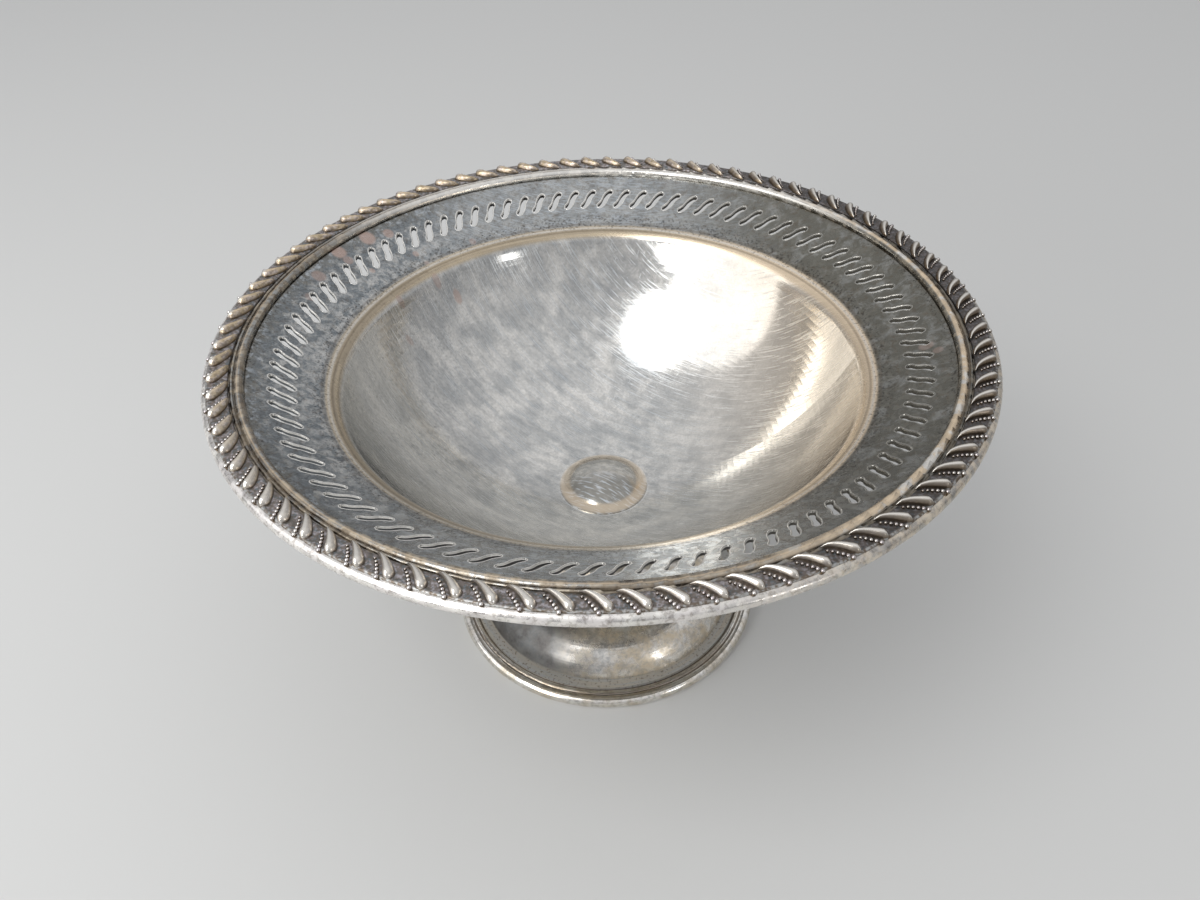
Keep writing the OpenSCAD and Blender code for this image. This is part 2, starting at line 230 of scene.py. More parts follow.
class Finish:
    """A material in the making: its nodes, the place on the object in millimetres, and the colours."""

    def __init__(self, name, colours, metallic=1.0):
        self.made = bpy.data.materials.new(name)
        self.made.use_nodes = True
        self.tree = self.made.node_tree
        self.shader = self.tree.nodes["Principled BSDF"]
        self.shader.inputs["Metallic"].default_value = metallic
        self.colours = colours
        self.add = partial(add, self.tree)
        place = self.add("TexCoord", {}, {}, "Object")
        self.where = self.add("VectorMath", SCALED, {0: place, "Scale": 1 / MM})

    def measure(self):
        """Works out x, y, height, radius and angle, and the shares of the bowl's right and front sides."""
        self.x, self.y, self.height = (self.add("SeparateXYZ", {}, {0: self.where}, i) for i in range(3))
        self.flat = self.add("VectorMath", TIMES, {0: self.where, 1: (1, 1, 0)})
        self.radius = self.add("VectorMath", LENGTH, {0: self.flat}, "Value")
        self.angle = self.add("Math", TURN, {0: self.y, 1: self.x})
        self.right = self.add("MapRange", SMOOTH, {0: self.x, 1: 5.0, 2: 50.0})
        self.front = self.add("MapRange", SMOOTH, {0: self.y, 1: -15.0, 2: -60.0})

    def lay(self, base, colour, share, strength=1.0):
        """Lays a colour over another one where share is 1, as strongly as strength says."""
        part = self.add("Math", TIMES, {0: share, 1: strength})
        return self.add("Mix", COLOUR, {MIX_SHARE: part, MIX_FIRST: base, MIX_SECOND: colour}, MIX_COLOUR_OUT)

    def patches(self, size, low=0.35, high=0.65, detail=5.0, rough=0.6, distort=0.0):
        """Share of soft patches about size millimetres across."""
        noise = self.add("TexNoise", {}, {"Vector": self.where, "Scale": 1 / size, "Detail": detail,
                                          "Roughness": rough, "Distortion": distort})
        return self.add("MapRange", SMOOTH, {0: noise, 1: low, 2: high})

    def strokes(self, turn, across, along, low=0.5, high=0.68):
        """Share of straight strokes at an angle in plan, with their width and length in millimetres."""
        turned = self.add("VectorRotate", {"rotation_type": "Z_AXIS"}, {"Vector": self.where, "Angle": turn})
        drawn = self.add("VectorMath", TIMES, {0: turned, 1: (1 / along, 1 / across, 1 / along)})
        noise = self.add("TexNoise", {}, {"Vector": drawn, "Scale": 1.0, "Detail": 3.0})
        return self.add("MapRange", SMOOTH, {0: noise, 1: low, 2: high})

    def belt(self, value, middle, half, soft):
        """Share that is 1 within half of middle and 0 beyond it by soft."""
        away = self.add("Math", SIZE, {0: self.add("Math", MINUS, {0: value, 1: middle})})
        return self.add("MapRange", SMOOTH, {0: away, 1: half, 2: half + soft, 3: 1.0, 4: 0.0})

    def finish(self, colour, roughness, relief, relief_mm):
        """Gives the shader its colour, its roughness and a fine relief, and returns the material."""
        bump = self.add("Bump", {}, {"Height": relief, "Distance": relief_mm * MM, "Strength": 1.0})
        self.tree.links.new(bump, self.shader.inputs["Normal"])
        self.tree.links.new(colour, self.shader.inputs["Base Color"])
        if isinstance(roughness, bpy.types.NodeSocket):
            self.tree.links.new(roughness, self.shader.inputs["Roughness"])
        else:
            self.shader.inputs["Roughness"].default_value = roughness
        return self.made


# Places in plan, radii and strengths of the pink marks: x mm, y mm, radius mm, strength
SPOTS = [
    (-53.5, 40.5, 1.9, 0.72), (-49.2, 43.7, 1.3, 0.6), (-58.8, 33.6, 1.8, 0.72), (-42.8, 40.1, 0.8, 0.48),
    (-38.0, 35.6, 1.0, 0.48), (-45.1, 26.3, 0.9, 0.48), (-33.7, 36.3, 1.0, 0.6), (-56.6, 32.1, 1.2, 0.48),
    (-61.5, 24.4, 1.6, 0.48), (-51.4, 31.4, 0.7, 0.48), (-40.2, 38.4, 0.6, 0.36), (-43.4, 21.3, 0.8, 0.36),
    (63.8, -6.5, 1.4, 0.36), (65.2, -9.3, 1.0, 0.36), (-30.2, 47.6, 0.9, 0.36), (-62.0, 17.2, 1.2, 0.36),
]


def dried_drops(f):
    """Share of the pink marks on the bowl: each is even in its middle and soft at its edge."""
    total = 0.0
    for x, y, radius, strength in SPOTS:
        away = f.add("VectorMath", DISTANCE, {0: f.flat, 1: (x, y, 0)}, "Value")
        mark = f.add("MapRange", SMOOTH, {0: away, 1: radius * 0.7, 2: radius * 1.15, 3: strength, 4: 0.0})
        total = f.add("Math", GREATER, {0: total, 1: mark})
    return total


def silver(name, colours, zones):
    """Silver plate, turned or cast: mirrors softly where polishing reaches, and is dull where tarnished.

    zones is a function that takes the finish and the colours, and gives the colour and a share that is 0
    on a mirror and 1 on thick tarnish."""
    f = Finish(name, colours)
    f.measure()
    # Turning lines are rings left by spinning. Real ones are too fine to show, so about two are drawn in a
    # millimetre, broken up round the bowl
    lines_per_mm, breaks = 2.2, 1.6
    rings = f.add("CombineXYZ", {}, {0: f.add("Math", TIMES, {0: f.radius, 1: lines_per_mm}),
                                     1: f.add("Math", TIMES, {0: f.angle, 1: breaks}), 2: f.height})
    lines = f.add("TexNoise", {}, {"Vector": rings, "Scale": 1.0, "Detail": 4.0})
    f.lines = f.add("MapRange", SMOOTH, {0: lines, 1: 0.4, 2: 0.6})
    colour, dull = zones(f, colours)
    rough = f.add("MapRange", {}, {0: dull, 1: 0, 2: 1, 3: 0.04, 4: 0.46})
    # Thick tarnish is a dull mineral layer, and hides the metal
    metal = f.add("MapRange", {}, {0: dull, 1: 0.5, 2: 1, 3: 1.0, 4: 0.45})
    f.tree.links.new(metal, f.shader.inputs["Metallic"])
    rough = f.add("Math", PLUS, {0: rough, 1: f.add("Math", TIMES, {0: lines, 1: 0.04})})
    return f.finish(colour, rough, lines, 0.004)


def pits(f, left):
    """Share of the dark pits that polish can't reach: by the shoulder, along the border and at the left."""
    nearer = f.add("MapRange", SMOOTH, {0: f.y, 1: 50.0, 2: 10.0, 3: 0.1})
    place = f.add("Math", TIMES, {0: f.belt(f.radius, BRIM_EDGE, 0.2, 1.6), 1: nearer})
    place = f.add("Math", GREATER, {0: f.belt(f.radius, SHOULDER + 2.3, 0.6, 2.2), 1: place})
    place = f.add("Math", GREATER, {0: place, 1: f.add("Math", TIMES, {0: left, 1: 0.35})})
    return f.add("Math", TIMES, {0: place, 1: f.patches(0.5, 0.56, 0.6, 3.0, 0.6)})


def well_colour(f, c, fine, mottle, broad, brushed):
    """Colour of the well: slate clouds under brushed strokes, and a painted warm reflection in straw in front
    and at both sides.
    """
    well = f.lay(f.lay(c.silver, c.slate, mottle, 0.18), c.smoke, fine, 0.18)
    well = f.lay(f.lay(well, c.slate, f.strokes(0.5, 1.5, 7.0, 0.42, 0.62), 0.25), c.slate, broad, 0.35)
    well = f.lay(well, c.haze, brushed, 0.5)
    # Painted reflection: straw, golden towards the right, laid in front and at both sides, where the wall
    # mirrors the warm shoulder and brim
    front = f.add("MapRange", SMOOTH, {0: f.y, 1: 0.0, 2: -35.0})
    left_wall = f.add("MapRange", SMOOTH, {0: f.x, 1: -38.0, 2: -55.0})
    straw = f.add("Math", GREATER, {0: f.add("Math", GREATER, {0: front, 1: f.right}), 1: left_wall})
    return f.lay(well, f.lay(c.silver, c.gold, f.right, 0.7), straw, 0.7)


def brim_colour(f, c, fine, left):
    """Colour of the brim: grey and slate, blue black stained patches and pale bloom at the left, smoke at the
    right.
    """
    brim = f.lay(c.grey, c.slate, f.patches(4.5, 0.4, 0.6, 6.0, 0.68), 0.45)
    brim = f.lay(brim, c.brown, f.patches(0.9, 0.45, 0.62, 5.0, 0.7), 0.3)
    brim = f.lay(brim, c.haze, f.strokes(0.15, 0.3, 2.6, 0.48, 0.6), 0.5)
    bloom = f.lay(c.slate, c.silver, f.patches(2.0, 0.38, 0.64, 6.0, 0.7, 0.5), 0.6)
    outer = f.add("MapRange", SMOOTH, {0: f.radius, 1: BRIM_EDGE - 3.9, 2: BRIM_EDGE - 0.9})
    bloom = f.lay(bloom, f.lay(c.smoke, c.haze, f.patches(1.6, 0.5, 0.62, 6.0, 0.7)), outer, 0.75)
    stain_and_dark_reflection = f.add("Math", TIMES, {0: f.patches(3.4, 0.42, 0.54, 6.0, 0.75, 0.8),
                                  1: f.belt(f.radius, SLOT_STAIN, 2.0, 3.5)})
    brim = f.lay(brim, f.lay(bloom, f.lay(c.slate, c.black, fine, 0.4), stain_and_dark_reflection, 0.9), left, 0.85)
    smoke = f.lay(c.smoke, c.grey, f.patches(4.0, 0.48, 0.64, 6.0, 0.7, 0.5), 0.4)
    brim = f.lay(brim, smoke, f.right, 0.9)
    return f.lay(brim, c.brown, f.patches(1.3, 0.52, 0.64, 5.0, 0.7), 0.35)


def shoulder_colour(f, c):
    """Colour of the shoulder: fine tan and brown rings, golden towards the right as a painted highlight, with
    one clean silver line that is a painted highlight.
    """
    # Painted highlight: gold towards the right, and a silver line just outside the middle of the shoulder
    rings = f.lay(f.lay(c.tan, c.brown, f.lines, 0.35), c.gold, f.right, 0.9)
    return f.lay(rings, c.silver, f.belt(f.radius, SHOULDER + 0.7, 0.1, 0.3), 0.5)


def bowl_zones(f, c):
    """Bowl: pale well with a painted warm reflection, tan shoulder with painted highlights, duller brim, grey
    outside with painted shade close under the brim, and slot walls painted nearly black as shade.
    """
    fine = f.patches(0.5, 0.38, 0.62, 4.0, 0.7)
    mottle = f.patches(2.2, 0.42, 0.6, 6.0, 0.7, 0.6)
    broad = f.patches(9.0, 0.4, 0.6, 6.0, 0.65)
    brushed = f.add("Math", GREATER, {0: f.strokes(0.6, 0.2, 6.0, 0.5, 0.7),
                                      1: f.strokes(-0.9, 0.2, 4.0, 0.62, 0.78)})
    left = f.add("MapRange", SMOOTH, {0: f.x, 1: -20.0, 2: -50.0})
    in_well = f.add("MapRange", SMOOTH, {0: f.radius, 1: WELL_EDGE + 0.4, 2: WELL_EDGE})
    shoulder = f.belt(f.radius, SHOULDER, 0.9, 0.8)
    base = f.lay(brim_colour(f, c, fine, left), well_colour(f, c, fine, mottle, broad, brushed), in_well)
    base = f.lay(base, shoulder_colour(f, c), shoulder, 0.85)
    base = f.lay(base, c.brown, f.belt(f.radius, SHOULDER, 0.05, 0.3), 0.4)
    base = f.lay(base, c.brown, f.belt(f.radius, SHOULDER + 1.8, 0.0, 0.5), 0.35)
    base = f.lay(base, c.black, pits(f, left), 0.65)
    base = f.lay(base, c.brown, f.belt(f.radius, BRIM_EDGE + 0.2, 0.0, 0.3), 0.25)
    base = f.lay(base, c.spot, dried_drops(f))
    # The outside faces down, and is painted darker close under the brim as painted shade. The walls of the
    # slots face sideways, and are painted dark as painted shade in the slots
    up = f.add("SeparateXYZ", {}, {0: f.add("TexCoord", {}, {}, "Normal")}, "Z")
    outside = f.add("MapRange", SMOOTH, {0: up, 1: -0.2, 2: -0.35})
    # Painted shade: nearly black laid on the outside towards the top, under the brim
    deep = f.add("MapRange", SMOOTH, {0: f.height, 1: 50.0, 2: 68.0})
    under = f.lay(f.lay(c.grey, c.tan, broad, 0.6), c.slate, mottle, 0.4)
    base = f.lay(base, f.lay(under, c.black, deep, 0.7), outside)
    # Painted shade: the slot walls on the brim are laid near black, with slate at the left and smoke grey at
    # the right, so that the slots look dark
    on_brim = f.add("MapRange", SMOOTH, {0: f.radius, 1: WELL_EDGE + 1.6, 2: WELL_EDGE + 2.6})
    wall = f.add("Math", TIMES, {0: f.belt(up, 0.0, 0.3, 0.2), 1: on_brim})
    base = f.lay(base, f.lay(f.lay(c.black, c.slate, left, 0.45), c.smoke, f.right, 0.6), wall)
    # The brim is duller than the well, and the shoulder is satin
    dull = f.lay(f.add("MapRange", {}, {0: mottle, 1: 0, 2: 1, 3: 0.35, 4: 0.7}),
                 f.add("MapRange", {}, {0: brushed, 1: 0, 2: 1, 3: 0.14, 4: 0.75}), in_well)
    dull = f.lay(dull, (0.6, 0.6, 0.6, 1.0), shoulder, 0.8)
    dull = f.add("Math", GREATER, {0: dull, 1: f.add("Math", TIMES, {0: outside, 1: 0.6})})
    return base, f.add("Math", GREATER, {0: dull, 1: wall})


def foot_zones(f, c):
    """Foot: silver under tan clouds, a painted dark reflection low at the left, brown flecks on the flat
    band.
    """
    broad = f.patches(5.0, 0.36, 0.64, 6.0, 0.66)
    base = f.lay(f.lay(c.silver, c.tan, broad, 0.8), c.slate, f.patches(1.1, 0.4, 0.66, 5.0, 0.7), 0.4)
    # Painted reflection: black and slate laid low at the left of the foot, as a dark reflection
    low = f.add("MapRange", SMOOTH, {0: f.height, 1: 24.0, 2: 9.0})
    left = f.add("MapRange", SMOOTH, {0: f.x, 1: 2.0, 2: -14.0})
    stain_and_dark_reflection = f.add("Math", TIMES, {0: low, 1: left})
    base = f.lay(base, f.lay(c.black, c.slate, broad, 0.5), stain_and_dark_reflection, 0.9)
    band = f.add("MapRange", SMOOTH, {0: f.radius, 1: FOOT_BAND, 2: FOOT_BAND + 0.3})
    base = f.lay(base, f.lay(c.grey, c.tan, f.lines, 0.4), band, 0.9)
    flecks = f.add("Math", TIMES, {0: band, 1: f.patches(0.6, 0.56, 0.62, 4.0, 0.6)})
    worn = f.add("MapRange", {}, {0: broad, 1: 0, 2: 1, 3: 0.3, 4: 0.65})
    dull = f.add("Math", GREATER, {0: worn, 1: f.add("Math", TIMES, {0: stain_and_dark_reflection, 1: 0.7})})
    return f.lay(base, c.brown, flecks, 0.7), f.add("Math", GREATER, {0: dull, 1: band})


def wire_zones(f, c):
    """Rim wire: grey and tan bead, painted clean silver at the far side as a painted highlight, rubbed at the
    right, brown lines, pale roll.
    """
    patch = f.patches(2.4, 0.4, 0.6)
    far = f.add("MapRange", SMOOTH, {0: f.y, 1: 25.0, 2: 60.0})
    bead = f.lay(f.lay(c.grey, c.tan, patch, 0.6), c.brown, f.patches(1.1, 0.45, 0.62), 0.6)
    bead = f.lay(f.lay(bead, c.brown, f.lines, 0.6), c.smoke, f.right, 0.5)
    bead = f.lay(bead, c.gold, f.belt(f.radius, WIRE_BEAD, 0.02, 0.22), 0.5)
    rubbed = f.add("Math", TIMES, {0: f.right, 1: f.belt(f.radius, WIRE_BEAD, 0.5, 0.3)})
    bead = f.lay(bead, f.lay(c.gold, c.silver, f.patches(4.0, 0.5, 0.6)), rubbed, 0.8)
    # Painted highlight: clean silver laid on the bead at the far side
    bead = f.lay(bead, c.silver, far, 0.8)
    roll = f.lay(f.lay(c.silver, c.lilac, f.patches(3.0), 0.4), c.brown, f.patches(0.9, 0.5, 0.64), 0.4)
    roll = f.lay(roll, f.lay(c.tan, c.smoke, f.patches(1.7, 0.4, 0.6, 6.0, 0.7)), f.right, 0.6)
    base = f.lay(bead, roll, f.add("MapRange", SMOOTH, {0: f.radius, 1: ROLL, 2: ROLL + 1.0}))
    for line in WIRE_LINES:
        base = f.lay(base, c.brown, f.belt(f.radius, line, 0.1, 0.2), 0.3)
    return base, f.add("MapRange", {}, {0: patch, 1: 0, 2: 1, 3: 0.3, 4: 0.8})


def ring_zones(f, c):
    """Foot ring: tan silver with brown lines between its steps."""
    patch = f.patches(4.0)
    base = f.lay(f.lay(c.silver, c.tan, patch, 0.6), c.slate, f.patches(1.0, 0.45, 0.65), 0.3)
    for line, half in ((RING_OUTER_LINE, 0.12), (RING_INNER_LINE, 0.15)):
        base = f.lay(base, c.brown, f.belt(f.radius, line, half, 0.3), 0.8)
    return base, f.add("MapRange", {}, {0: patch, 1: 0, 2: 1, 3: 0.15, 4: 0.5})


def cap_zones(f, c):
    """Centre cap: light at the back, and a painted dark reflection in smoke grey and haze in front, with a
    golden ring where the dome runs out.
    """
    patch = f.patches(1.6, 0.4, 0.6)
    # Painted reflection: the front of the dome is laid darker than its light back
    near = f.add("MapRange", SMOOTH, {0: f.y, 1: 4.0, 2: -3.0})
    painted_dark_reflection = f.lay(c.smoke, c.haze, f.strokes(0.5, 0.4, 2.5))
    base = f.lay(f.lay(c.silver, c.grey, patch, 0.5), painted_dark_reflection, near, 0.7)
    base = f.lay(base, c.gold, f.belt(f.radius, CAP_ROUND, 0.7, 0.9), 0.5)
    return base, f.add("MapRange", {}, {0: patch, 1: 0, 2: 1, 3: 0.1, 4: 0.35})


def collar_zones(f, c):
    """Collar: silver under tan patches, brown in its neck, where polish can't reach."""
    patch = f.patches(3.0)
    base = f.lay(c.silver, c.tan, patch)
    deep = f.add("MapRange", SMOOTH, {0: f.radius, 1: COLLAR_NECK + 1.2, 2: COLLAR_NECK})
    return f.lay(base, c.brown, deep), f.add("Math", TIMES, {0: patch, 1: 0.6})


def lobe_zones(f, c):
    """Gadroons: light crests, partly worn and partly a painted highlight, golden at the left and silver
    elsewhere, above brown and lilac sides.
    """
    crest = f.add("Attribute", {"attribute_name": CREST}, {}, "Fac")
    patch = f.patches(1.3, 0.38, 0.62)
    side = f.lay(f.lay(c.tan, c.lilac, patch, 0.6), c.brown, f.patches(0.6, 0.42, 0.6), 0.6)
    # Painted highlight: the sides are laid lighter in front
    side = f.lay(f.lay(side, c.silver, f.front, 0.5), c.brown, f.right, 0.75)
    ridge = f.add("MapRange", SMOOTH, {0: crest, 1: 0.35, 2: 0.85})
    heads = f.add("MapRange", SMOOTH, {0: f.radius, 1: STRIP_LIP - 1.3, 2: STRIP_LIP - 0.3})
    # Painted highlight: the crests are silver in front, at the right and on the heads
    pale = f.add("Math", GREATER, {0: f.add("Math", GREATER, {0: f.front, 1: f.right}), 1: heads})
    base = f.lay(side, f.lay(f.lay(c.tan, c.gold, patch), c.silver, pale, 0.85), ridge)
    low = f.add("MapRange", SMOOTH, {0: crest, 1: 0.3, 2: 0.0})
    return f.lay(base, c.brown, low, 0.8), f.add("MapRange", {}, {0: ridge, 1: 0, 2: 1, 3: 0.6, 4: 0.25})


def bead_zones(f, c):
    """Beads: silver and lilac grey tops above brown feet."""
    top = STRIP_HIGH.z / MM
    low = f.add("MapRange", SMOOTH, {0: f.height, 1: top - 0.75, 2: top - 1.1})
    patch = f.patches(1.6)
    base = f.lay(f.lay(c.silver, c.lilac, patch), c.smoke, f.right, 0.3)
    return f.lay(base, c.brown, low), f.add("Math", TIMES, {0: patch, 1: 0.5})


def ground_zones(f, c):
    """Ground of the strip: matt lilac, slate and brown, nearly black at the right, with a greyer lip."""
    base = f.lay(c.slate, c.lilac, f.patches(0.9, 0.44, 0.56), 0.7)
    base = f.lay(base, c.brown, f.patches(0.5, 0.38, 0.55), 0.7)
    base = f.lay(base, c.black, f.right, 0.65)
    lip = f.add("MapRange", SMOOTH, {0: f.radius, 1: STRIP_LIP, 2: STRIP_LIP + 0.4})
    return f.lay(base, f.lay(c.brown, c.grey, f.patches(0.8, 0.42, 0.6)), lip, 0.8), 0.8


def edge_zones(f, c):
    """Rounded slot edges: rubbed satin silver with grey patches, smokier and glossier at the right."""
    patch = f.patches(2.0, 0.4, 0.6)
    base = f.lay(f.lay(c.silver, c.grey, patch, 0.3), c.smoke, f.right, 0.6)
    return base, f.add("MapRange", {}, {0: f.right, 1: 0, 2: 1, 3: 0.75, 4: 0.48})


def steel_finish(colours):
    """Zinc plated steel, lightly dulled: a soft grey gleam with paler clouds."""
    f = Finish("zinc plated steel", colours)
    return f.finish(f.lay(colours.steel, colours.grey, f.patches(2.0), 0.6), 0.38, f.patches(0.3), 0.01)


def cast_finish(colours):
    """Plaster poured into the foot: matt grey and slightly pitted."""
    f = Finish("cast plaster", colours, metallic=0.0)
    return f.finish(f.lay(colours.cast, colours.grey, f.patches(3.0), 0.6), 0.9, f.patches(0.5), 0.08)


def felt_finish(colours):
    """Pressed wool felt: matt dark green, with a short sheen and clumps of fibre about 0.4 mm across."""
    f = Finish("green felt", colours, metallic=0.0)
    f.shader.inputs["Sheen Weight"].default_value = 0.4
    fibre = f.patches(0.4, 0.35, 0.65, 6.0, 0.7)
    return f.finish(f.lay(colours.felt, colours.black, fibre, 0.5), 0.95, fibre, 0.12)


def new_piece(name, build, finish):
    """Object at the origin whose mesh build makes, with its finish, riding on the body."""
    bm = bmesh.new()
    build(bm)
    bmesh.ops.recalc_face_normals(bm, faces=bm.faces)
    mesh = bpy.data.meshes.new(name)
    bm.to_mesh(mesh)
    bm.free()
    mesh.shade_smooth()
    mesh.materials.append(finish)
    piece = bpy.data.objects.new(name, mesh)
    bpy.context.scene.collection.objects.link(piece)
    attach(piece, "root")
    return piece


def round_point(radius, angle, height):
    """A point at a radius and an angle round the bowl's axis."""
    return Vector((radius * math.cos(angle), radius * math.sin(angle), height))


def interpolate(table, share):
    """Value at a share, between the rows of a table of (share, value)."""
    for (s0, v0), (s1, v1) in zip(table, table[1:]):
        if share <= s1:
            return v0 + (v1 - v0) * (share - s0) / (s1 - s0)
    return table[-1][1]


def copy_round(bm, count):
    """Copies what bm holds round the bowl's axis, count times in all."""
    geom = list(bm.verts) + list(bm.edges) + list(bm.faces)
    bmesh.ops.spin(bm, geom=geom, cent=(0, 0, 0), axis=(0, 0, 1), angle=2 * math.pi * (count - 1) / count,
                   steps=count - 1, use_duplicate=True)


# Gadroon from its tail at 0 to its head at 1: reach of its steep side and of its flatter side as shares of
# the gadroon width, and its height as a share of what stands above the ground
LOBE_STEEP_SHARES = [(0, 0.1), (0.12, 0.22), (0.35, 0.38), (0.6, 0.52), (0.82, 0.66), (0.94, 0.64), (1, 0.5)]
LOBE_FLANK_SHARES = [(0, 0.12), (0.12, 0.4), (0.35, 0.75), (0.6, 1.0), (0.82, 1.15), (0.94, 1.05), (1, 0.8)]
LOBE_HEIGHT_SHARES = [(0, 0.35), (0.15, 0.7), (0.4, 0.92), (0.7, 1.0), (0.9, 1.0), (1, 0.85)]
# The flatter side goes down with this power, which gives the gadroon a narrow crest
LOBE_FLANK_POWER = 1.4
# The middle line of a gadroon bends, because its radius and its angle grow with these powers of its length
LOBE_RADIUS_POWER, LOBE_ANGLE_POWER = 1.3, 0.75
# Beads of a row from the first at 0 to the last at 1, as places along the gadroon
BEAD_SHARES = [(0, 0.12), (0.2, 0.27), (0.4, 0.42), (0.6, 0.57), (0.8, 0.71), (1, 0.85)]
# Section of a slot's rounded edge: way out from the slot's outline and height above the brim, as shares of
# the edge width
SLOT_EDGE_SHARES = [(0.9, -0.3), (0.6, 0.12), (0.2, 0.14), (-0.2, -0.25), (-0.22, -1.3), (0.5, -1.5)]


def strip_place(border, share, off):
    """Radius and angle of a place at a share of a gadroon's length and off its middle line."""
    inner = STRIP_HIGH.x - border.width
    step = 0.01
    (r0, a0), (r1, a1) = ((inner + border.width * s ** LOBE_RADIUS_POWER, border.lean * s ** LOBE_ANGLE_POWER)
                          for s in (share, share + step))
    along = Vector(((a1 - a0) * r0, r1 - r0)).normalized()
    return r0 + along.x * off, a0 - along.y * off / r0


def build_lobes(bm, border):
    """Gadroons: narrow drops from a thin tail to a full head, steeper on the side of their beads."""
    ground = STRIP_LOW.z + border.ground_height
    rise = STRIP_HIGH.z - ground
    sunk = 0.3 * MM
    turn = Matrix.Rotation(math.pi / 2, 4, "Y")
    bmesh.ops.create_uvsphere(bm, u_segments=16, v_segments=12, radius=1, matrix=turn)
    crest = bm.verts.layers.float.new(CREST)
    for v in bm.verts:
        ring = math.hypot(v.co.y, v.co.z)
        share = (v.co.x + 1) / 2
        across, up = (v.co.y / ring, v.co.z / ring) if ring > 1e-6 else (0, 0)
        # Only the last rings of the sphere close in to its poles, so the gadroon's ends are blunt
        end = min(1, ring * 1.6)
        top = rise * interpolate(LOBE_HEIGHT_SHARES, share) * end
        if across > 0:
            reach, level = LOBE_STEEP_SHARES, up
        else:
            reach, level = LOBE_FLANK_SHARES, max(up, 0) ** LOBE_FLANK_POWER
        r, a = strip_place(border, share, border.lobe_width * interpolate(reach, share) * end * across)
        v.co = round_point(r, a, ground + (top * level if up > 0 else sunk * up * end))
        v[crest] = 1 - abs(across) if up > 0 else 0
    copy_round(bm, border.gadroons)


def build_beads(bm, border):
    """Rows of beads along the steep side of the gadroons, larger towards the rim."""
    ground = STRIP_LOW.z + border.ground_height
    for k in range(border.beads):
        size = border.bead_small + (border.bead_large - border.bead_small) * k / (border.beads - 1)
        share = interpolate(BEAD_SHARES, k / (border.beads - 1))
        steep = border.lobe_width * interpolate(LOBE_STEEP_SHARES, share)
        r, a = strip_place(border, share, steep + size + border.bead_gap)
        place = Matrix.Translation(round_point(r, a, ground + 0.35 * size))
        bmesh.ops.create_uvsphere(bm, u_segments=8, v_segments=6, radius=size, matrix=place)
    copy_round(bm, border.gadroons)


def build_ground(bm, border):
    """Ground of the strip, turned round the bowl's axis, with a small outer lip."""
    inner = STRIP_HIGH.x - border.width
    outer = STRIP_HIGH.x
    ledge = STRIP_LOW.z
    top = ledge + border.ground_height
    slope, lip, lip_rise = 0.9 * MM, 0.15 * MM, 0.2 * MM
    outline = [
        (inner, ledge), (inner + 0.25 * MM, top - lip), (inner + slope, top),
        (outer - slope, top), (outer - 3 * lip, top + lip_rise / 2), (outer - lip, top + lip_rise),
        (outer + lip, top + lip_rise / 4), (outer + lip_rise, ledge + 0.25 * MM), (outer - slope, ledge),
    ]
    verts = [bm.verts.new((x, 0, z)) for x, z in outline]
    edges = [bm.edges.new((verts[i - 1], verts[i])) for i in range(len(verts))]
    bmesh.ops.spin(bm, geom=verts + edges, cent=(0, 0, 0), axis=(0, 0, 1), angle=2 * math.pi,
                   steps=4 * border.gadroons, use_merge=True)
    bmesh.ops.remove_doubles(bm, verts=bm.verts, dist=0.002 * MM)


def slot_outline(slots, offset):
    """Points round an S slot, in metres, drawn out by offset: x clockwise round the bowl, y outwards."""
    steps = 4
    half = slots.width / 2 + offset
    bend = slots.bend
    mid = math.pi - slots.mid_lean
    end = math.pi - slots.end_lean

    def polar(c, r, a):
        return c + Vector((r * math.cos(a), r * math.sin(a)))

    def arc(c, r, a0, a1):
        return [polar(c, r, a0 + (a1 - a0) * i / steps) for i in range(steps)]

    centre = polar(Vector((0, 0)), bend, mid + math.pi)
    tip = polar(centre, bend, end)
    points = arc(centre, bend - half, mid, end) + arc(tip, half, end + math.pi, end + 2 * math.pi)
    points += arc(centre, bend + half, end, mid)
    return points + [-p for p in points]


def build_slot_edges(bm, slots):
    """Rounded edges: a closed ring on the rim of each slot, copied round the brim."""
    outlines = [slot_outline(slots, slots.edge * out) for out, _ in SLOT_EDGE_SHARES]
    layer = bm.verts.layers.int.new("place")

    def put(v, ring):
        point = outlines[ring][v[layer]]
        outward = slots.ring + point.y
        radius = math.hypot(outward, point.x)
        brim = slots.brim_height + (radius - slots.ring) * math.tan(slots.brim_slope)
        v.co = (point.x, outward, brim + slots.edge * SLOT_EDGE_SHARES[ring][1])

    made = bmesh.ops.create_circle(bm, segments=len(outlines[0]), radius=1)
    for i, v in enumerate(made["verts"]):
        v[layer] = i
        put(v, 0)
    first = list(bm.edges)
    last = first
    for ring in range(1, len(outlines)):
        grown = bmesh.ops.extrude_edge_only(bm, edges=last)["geom"]
        for v in (g for g in grown if isinstance(g, bmesh.types.BMVert)):
            put(v, ring)
        last = [g for g in grown if isinstance(g, bmesh.types.BMEdge)]
    bmesh.ops.bridge_loops(bm, edges=first + last)
    bmesh.ops.rotate(bm, verts=bm.verts, cent=(0, 0, 0), matrix=Matrix.Rotation(-math.pi / 2, 3, "Z"))
    copy_round(bm, slots.count)


